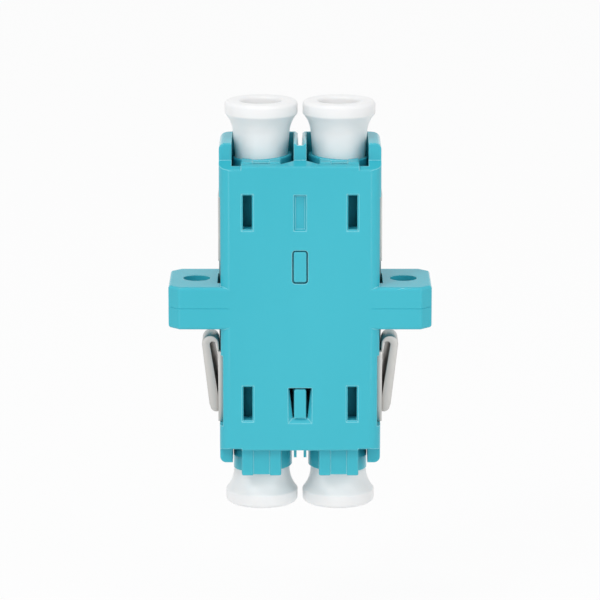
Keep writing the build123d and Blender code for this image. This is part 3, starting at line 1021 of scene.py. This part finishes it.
def floor_material():
    """Plain pale floor that shows white to the camera and in gloss."""
    material = bpy.data.materials.new("pale_floor")
    material.use_nodes = True
    tree = material.node_tree
    shader = tree.nodes["Principled BSDF"]
    shader.inputs["Base Color"].default_value = (FLOOR_GREY, FLOOR_GREY, FLOOR_GREY, 1.0)
    shader.inputs["Roughness"].default_value = 0.8
    shader.inputs["Specular IOR Level"].default_value = 0.1
    glow = tree.nodes.new("ShaderNodeEmission")
    glow.inputs["Color"].default_value = WHITE
    glow.inputs["Strength"].default_value = 1.0
    blend = tree.nodes.new("ShaderNodeMixShader")
    share = tree.nodes.new("ShaderNodeMath")
    share.operation = "MULTIPLY"
    share.inputs[1].default_value = FLOOR_GLOW
    tree.links.new(white_rays(tree), share.inputs[0])
    tree.links.new(share.outputs[0], blend.inputs[0])
    tree.links.new(shader.outputs[0], blend.inputs[1])
    tree.links.new(glow.outputs[0], blend.inputs[2])
    tree.links.new(blend.outputs[0], tree.nodes["Material Output"].inputs["Surface"])
    return material


def studio_world(strength):
    """Even pale light, white to the camera and in gloss."""
    world = bpy.data.worlds.new("studio")
    world.use_nodes = True
    tree = world.node_tree
    plain = tree.nodes["Background"]
    plain.inputs["Color"].default_value = AMBIENT_COLOUR
    plain.inputs["Strength"].default_value = strength
    white = tree.nodes.new("ShaderNodeBackground")
    white.inputs["Color"].default_value = WHITE
    white.inputs["Strength"].default_value = 1.0
    blend = tree.nodes.new("ShaderNodeMixShader")
    tree.links.new(white_rays(tree), blend.inputs[0])
    tree.links.new(plain.outputs[0], blend.inputs[1])
    tree.links.new(white.outputs[0], blend.inputs[2])
    tree.links.new(blend.outputs[0], tree.nodes["World Output"].inputs["Surface"])
    bpy.context.scene.world = world


class ADAPTER_OT_stage(bpy.types.Operator):
    """Makes the floor, the lamps and the camera"""

    bl_idname = "adapter.stage"
    bl_label = "Stage"

    def execute(self, context):
        stage = context.scene.adapter_stage
        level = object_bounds()[0].z - stage.floor_drop
        corners = [(x * FLOOR_HALF, y * FLOOR_HALF, level)
                   for x, y in ((-1, -1), (1, -1), (1, 1), (-1, 1))]
        mesh = bpy.data.meshes.new("floor")
        mesh.from_pydata(corners, [], [(0, 1, 2, 3)])
        mesh.materials.append(floor_material())
        new_object("floor", mesh)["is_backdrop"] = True
        studio_world(stage.ambient)

        aim = Vector((stage.aim_across, cad_box[0].y, stage.aim_height))
        for name, (place, width, height, power) in LAMPS.items():
            area_light(name, place, aim, width, height, power * stage.light)
        width, height, power = GLINT
        for name, side in (("glint_left", -1), ("glint_right", 1)):
            place, target = ((side * x, y, z) for x, y, z in (GLINT_PLACE, GLINT_AIM))
            glint = area_light(name, place, target, width, height, power * stage.light)
            glint.visible_camera = False

        tilt = stage.elevation
        camera_data = bpy.data.cameras.new("camera")
        camera_data.sensor_width = SENSOR_WIDTH
        camera_data.lens = SENSOR_WIDTH * stage.focal_pixels / FRAME_PIXELS
        camera_data.clip_start = NEAREST
        camera_data.clip_end = FARTHEST
        camera = bpy.data.objects.new("camera", camera_data)
        context.scene.collection.objects.link(camera)
        back = Vector((0.0, -math.cos(tilt), math.sin(tilt)))
        camera.location = aim + back * stage.distance
        camera.rotation_euler = (-back).to_track_quat("-Z", "Y").to_euler()
        context.scene.camera = camera
        context.scene.view_settings.view_transform = "Standard"
        return {"FINISHED"}


# Panel and registration


class ADAPTER_PT_sidebar(bpy.types.Panel):
    """Lists the adapter's operators and settings"""

    bl_label = "Adapter"
    bl_idname = "ADAPTER_PT_sidebar"
    bl_space_type = "VIEW_3D"
    bl_region_type = "UI"
    bl_category = "Adapter"

    def draw(self, context):
        layout = self.layout
        for operator in OPERATORS:
            layout.operator(operator.bl_idname)
        for key, group in SETTINGS.items():
            box = layout.box()
            box.label(text=group.__doc__)
            for name in group.__annotations__:
                box.prop(getattr(context.scene, key), name)


SETTINGS = {
    "adapter_plastic": PlasticSettings,
    "adapter_metal": MetalSettings,
    "adapter_cap": CapSettings,
    "adapter_clip": ClipSettings,
    "adapter_stage": StageSettings,
}
OPERATORS = (ADAPTER_OT_mouldings, ADAPTER_OT_sleeves, ADAPTER_OT_clips, ADAPTER_OT_dust_caps,
             ADAPTER_OT_stage)
CLASSES = (*SETTINGS.values(), *OPERATORS, ADAPTER_PT_sidebar)


def register():
    for cls in CLASSES:
        bpy.utils.register_class(cls)
    for key, group in SETTINGS.items():
        setattr(bpy.types.Scene, key, PointerProperty(type=group))


def unregister():
    for key in SETTINGS:
        delattr(bpy.types.Scene, key)
    for cls in reversed(CLASSES):
        bpy.utils.unregister_class(cls)


def main():
    register()
    bpy.ops.adapter.mouldings()
    bpy.ops.adapter.sleeves()
    bpy.ops.adapter.clips()
    bpy.ops.adapter.dust_caps()
    bpy.ops.adapter.stage()


if __name__ == "__main__":
    main()
